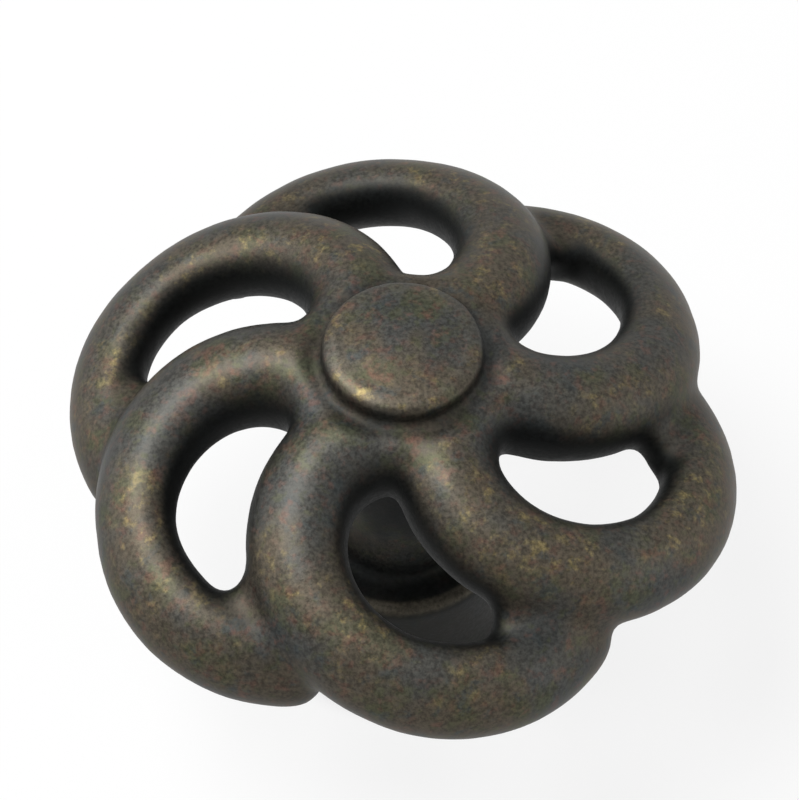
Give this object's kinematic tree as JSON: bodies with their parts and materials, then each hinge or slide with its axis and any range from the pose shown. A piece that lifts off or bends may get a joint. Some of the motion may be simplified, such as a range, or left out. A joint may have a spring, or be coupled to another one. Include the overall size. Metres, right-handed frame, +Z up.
{
  "type": "cabinet knob",
  "caption": "Cast cabinet knob: curved arms swirl out and down from a raised round button, over a turned neck and a drum foot with a blind screw hole.",
  "frame": {"origin": "middle of the foot's underside, on the knob's axis", "axes": "+Z up along the knob's axis, away from the drawer front; +X to the right in the picture"},
  "size_m": [0.0372, 0.0374, 0.0254],
  "materials": {
    "antique_brass": "satin"
  },
  "bodies": {
    "root": {"knob": "antique_brass"}
  },
  "joints": []
}
